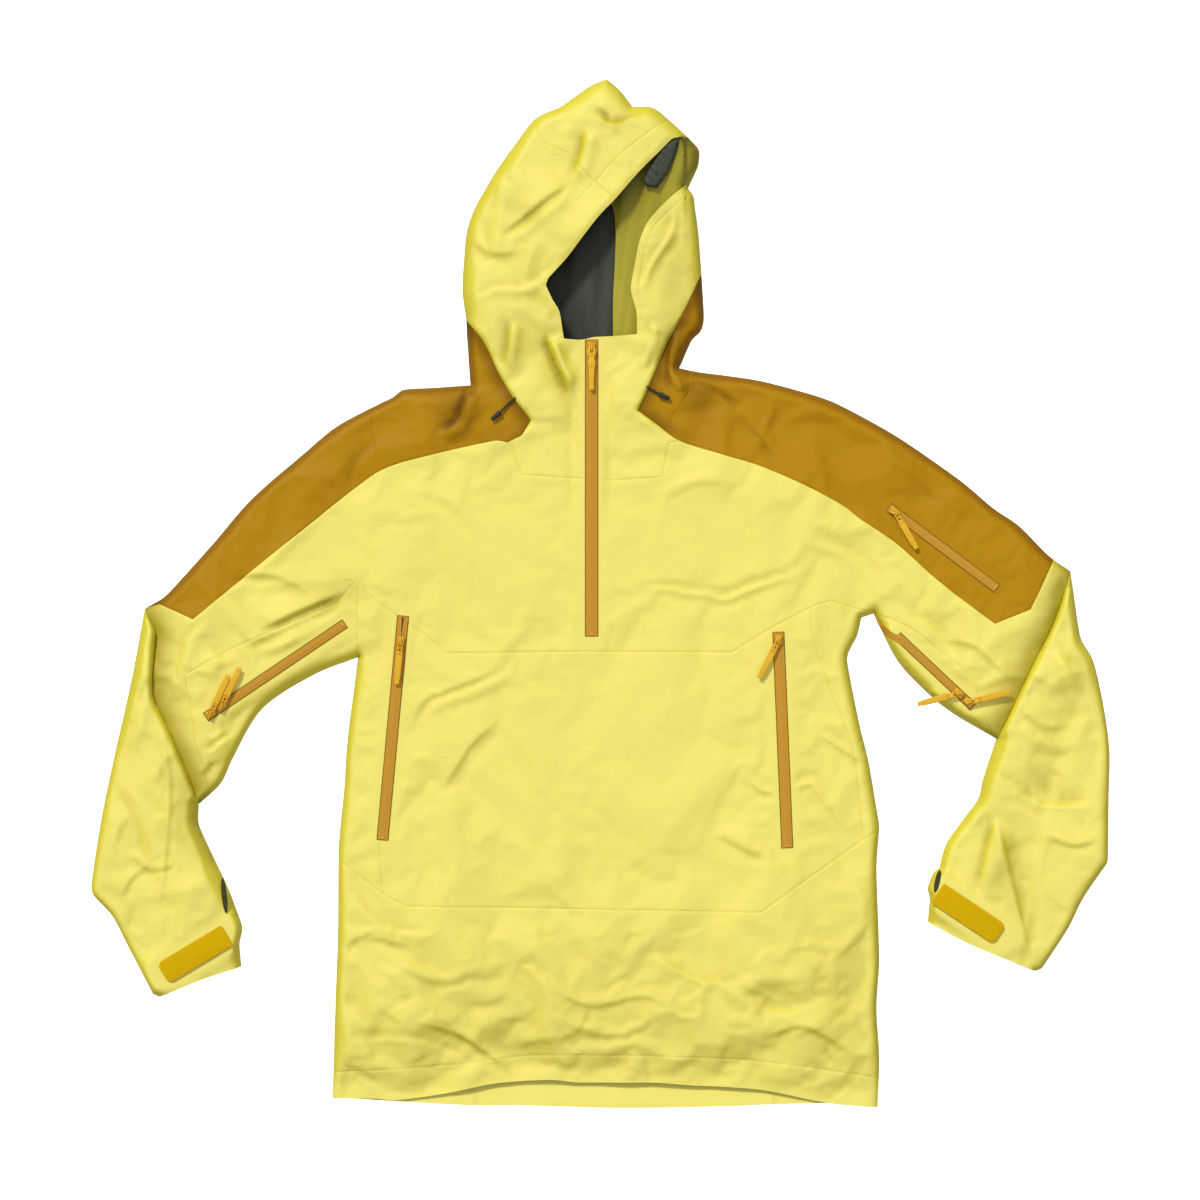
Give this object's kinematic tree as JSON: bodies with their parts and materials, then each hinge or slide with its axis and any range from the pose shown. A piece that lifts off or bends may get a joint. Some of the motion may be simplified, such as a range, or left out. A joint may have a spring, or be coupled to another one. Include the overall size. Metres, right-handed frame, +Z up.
{
  "type": "hardshell jacket",
  "caption": "Half-zip hooded hardshell pullover laid flat on its back, with contrast shoulder yokes, chest pockets, pit zips, an arm pocket, cuff tabs and hood cords.",
  "frame": {"origin": "on the floor below the middle of the garment as it lies", "axes": "+X towards the wearer's left sleeve, +Y from the hem to the hood, +Z up from the floor through the front"},
  "size_m": [1.1436, 1.1569, 0.036],
  "materials": {
    "shell_yellow": "woven nylon shell, dull, light yellow",
    "yoke_ochre": "woven nylon shell, dull, ochre brown",
    "lining_grey": "brushed grey backer",
    "zip_tape": "laminated zip tape with moulded teeth, satin, tan brown",
    "slider_metal": "painted cast slider, satin, gold",
    "puller_gold": "moulded pull on a webbing core, gold",
    "tab_gold": "brushed loop fabric, golden",
    "cord_black": "braided elastic cord and moulded end, black"
  },
  "bodies": {
    "shell": {"right_collar": "shell_yellow", "left_collar": "shell_yellow", "right_chest": "shell_yellow", "left_chest": "shell_yellow", "right_underarm": "shell_yellow", "left_underarm": "shell_yellow", "belly": "shell_yellow", "front_hem_panel": "shell_yellow", "right_side_panel": "shell_yellow", "left_side_panel": "shell_yellow", "right_forearm": "shell_yellow", "left_forearm": "shell_yellow", "right_sleeve_outer_edge": "shell_yellow", "left_sleeve_outer_edge": "shell_yellow", "right_sleeve_inner_edge": "shell_yellow", "left_sleeve_inner_edge": "shell_yellow", "back_body": "shell_yellow", "right_sleeve_back": "shell_yellow", "left_sleeve_back": "shell_yellow", "hood_back": "shell_yellow", "right_hood_side": "shell_yellow", "hood_crown": "shell_yellow", "hood_brim": "shell_yellow", "left_hood_side": "shell_yellow", "right_hood_edge": "shell_yellow", "left_hood_edge": "shell_yellow", "right_yoke": "yoke_ochre", "left_yoke": "yoke_ochre", "back_yoke": "yoke_ochre", "hanger_loop": "yoke_ochre", "hood_lining": "lining_grey", "brim_adjuster_tunnel": "lining_grey", "front_zip_tape": "zip_tape", "right_pocket_zip_tape": "zip_tape", "left_pocket_zip_tape": "zip_tape", "arm_pocket_zip_tape": "zip_tape", "right_pit_zip_tape": "zip_tape", "left_pit_zip_tape": "zip_tape"},
    "front_slider": {"front_slider": "slider_metal"},
    "front_puller": {"front_puller": "puller_gold"},
    "right_pocket_slider": {"right_pocket_slider": "slider_metal"},
    "right_pocket_puller": {"right_pocket_puller": "puller_gold"},
    "left_pocket_slider": {"left_pocket_slider": "slider_metal"},
    "left_pocket_puller": {"left_pocket_puller": "puller_gold"},
    "arm_pocket_slider": {"arm_pocket_slider": "slider_metal"},
    "arm_pocket_puller": {"arm_pocket_puller": "puller_gold"},
    "right_pit_lower_slider": {"right_pit_lower_slider": "slider_metal"},
    "right_pit_lower_puller": {"right_pit_lower_puller": "puller_gold"},
    "right_pit_upper_slider": {"right_pit_upper_slider": "slider_metal"},
    "right_pit_upper_puller": {"right_pit_upper_puller": "puller_gold"},
    "left_pit_lower_slider": {"left_pit_lower_slider": "slider_metal"},
    "left_pit_lower_puller": {"left_pit_lower_puller": "puller_gold"},
    "left_pit_upper_slider": {"left_pit_upper_slider": "slider_metal"},
    "left_pit_upper_puller": {"left_pit_upper_puller": "puller_gold"},
    "right_cuff_tab": {"right_cuff_tab": "tab_gold"},
    "right_cord_pull": {"right_hood_cord": "cord_black", "right_cord_end": "cord_black"},
    "left_cuff_tab": {"left_cuff_tab": "tab_gold"},
    "left_cord_pull": {"left_hood_cord": "cord_black", "left_cord_end": "cord_black"}
  },
  "joints": [
    {"name": "front_zip_slide", "type": "slide", "parent": "shell", "child": "front_slider", "axis": [0, -1, 0], "range_m": [0, 0.316]},
    {"name": "front_puller_swing", "type": "hinge", "parent": "front_slider", "child": "front_puller", "pos_m": [-0.01, 0.275, 0.02875], "axis": [-1, 0, 0], "range_deg": [0, 170]},
    {"name": "right_pocket_zip_slide", "type": "slide", "parent": "shell", "child": "right_pocket_slider", "axis": [-0.0919, -0.9958, 0], "range_m": [-0.022, 0.216]},
    {"name": "right_pocket_puller_swing", "type": "hinge", "parent": "right_pocket_slider", "child": "right_pocket_puller", "pos_m": [-0.22357, -0.05388, 0.02875], "axis": [-0.9958, 0.0919, 0], "range_deg": [0, 170]},
    {"name": "left_pocket_zip_slide", "type": "slide", "parent": "shell", "child": "left_pocket_slider", "axis": [0.0415, -0.9991, 0], "range_m": [0, 0.226]},
    {"name": "left_pocket_puller_swing", "type": "hinge", "parent": "left_pocket_slider", "child": "left_pocket_puller", "pos_m": [0.19933, -0.05199, 0.02875], "axis": [-0.886, 0.4637, 0], "range_deg": [0, 170]},
    {"name": "arm_pocket_zip_slide", "type": "slide", "parent": "shell", "child": "arm_pocket_slider", "axis": [0.8, -0.6, 0], "range_m": [0, 0.136]},
    {"name": "arm_pocket_puller_swing", "type": "hinge", "parent": "arm_pocket_slider", "child": "arm_pocket_puller", "pos_m": [0.3294, 0.0912, 0.02875], "axis": [-0.8649, -0.502, 0], "range_deg": [0, 170]},
    {"name": "right_pit_lower_zip_slide", "type": "slide", "parent": "shell", "child": "right_pit_lower_slider", "axis": [0.8295, 0.5584, 0], "range_m": [0, 0.0795]},
    {"name": "right_pit_lower_puller_swing", "type": "hinge", "parent": "right_pit_lower_slider", "child": "right_pit_lower_puller", "pos_m": [-0.43602, -0.13465, 0.02875], "axis": [0.9059, -0.4234, 0], "range_deg": [0, 170]},
    {"name": "right_pit_upper_zip_slide", "type": "slide", "parent": "shell", "child": "right_pit_upper_slider", "axis": [0.8295, 0.5584, 0], "range_m": [0, 0.159]},
    {"name": "right_pit_upper_puller_swing", "type": "hinge", "parent": "right_pit_upper_slider", "child": "right_pit_upper_puller", "pos_m": [-0.42358, -0.12627, 0.02875], "axis": [0.9059, -0.4234, 0], "range_deg": [0, 170]},
    {"name": "left_pit_lower_zip_slide", "type": "slide", "parent": "shell", "child": "left_pit_lower_slider", "axis": [-0.7285, 0.6851, 0], "range_m": [0, 0.0435]},
    {"name": "left_pit_lower_puller_swing", "type": "hinge", "parent": "left_pit_lower_slider", "child": "left_pit_lower_puller", "pos_m": [0.41163, -0.12189, 0.02875], "axis": [0.2547, -0.967, 0], "range_deg": [0, 170]},
    {"name": "left_pit_upper_zip_slide", "type": "slide", "parent": "shell", "child": "left_pit_upper_slider", "axis": [-0.7285, 0.6851, 0], "range_m": [0, 0.087]},
    {"name": "left_pit_upper_puller_swing", "type": "hinge", "parent": "left_pit_upper_slider", "child": "left_pit_upper_puller", "pos_m": [0.4007, -0.11161, 0.02875], "axis": [-0.2547, 0.967, 0], "range_deg": [0, 170]},
    {"name": "right_cuff_tab_peel", "type": "hinge", "parent": "shell", "child": "right_cuff_tab", "pos_m": [-0.4175, -0.382, 0.0263], "axis": [-0.515, 0.8572, 0], "range_deg": [0, 150]},
    {"name": "left_cuff_tab_peel", "type": "hinge", "parent": "shell", "child": "left_cuff_tab", "pos_m": [0.3768, -0.335, 0.0263], "axis": [-0.5548, -0.832, 0], "range_deg": [0, 150]},
    {"name": "right_cord_pull_slide", "type": "slide", "parent": "shell", "child": "right_cord_pull", "axis": [-0.7627, -0.6468, 0], "range_m": [0, 0.012]},
    {"name": "left_cord_pull_slide", "type": "slide", "parent": "shell", "child": "left_cord_pull", "axis": [0.9092, -0.4163, 0], "range_m": [0, 0.012]}
  ],
  "couplings": [
    {"joint": "right_pit_lower_zip_slide", "follows": "right_pit_upper_zip_slide", "ratio": 0.5},
    {"joint": "left_pit_lower_zip_slide", "follows": "left_pit_upper_zip_slide", "ratio": 0.5}
  ]
}
